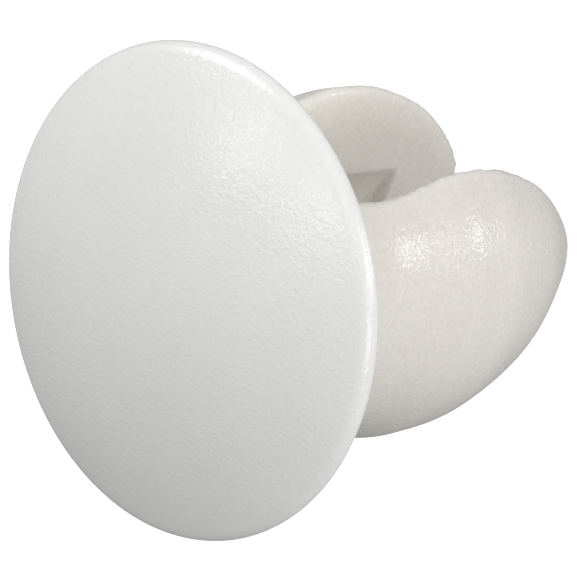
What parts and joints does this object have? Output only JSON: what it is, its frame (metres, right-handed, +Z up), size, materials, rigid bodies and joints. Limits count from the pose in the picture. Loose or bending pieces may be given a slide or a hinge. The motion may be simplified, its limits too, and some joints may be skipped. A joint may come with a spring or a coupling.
{
  "type": "plastic hole plug",
  "caption": "Round plastic hole plug with a shallow domed head and two thick, barbed legs parted by a wide slot.",
  "frame": {"origin": "centre of the head's flat underside, which seats on the panel", "axes": "+Y along the legs, away from the head; +Z up; the slot between the legs is turned 26 degrees from +Z towards +X"},
  "size_m": [0.0116, 0.014, 0.0116],
  "materials": {
    "nylon": "satin"
  },
  "bodies": {
    "root": {"hole_plug": "nylon"}
  },
  "joints": []
}
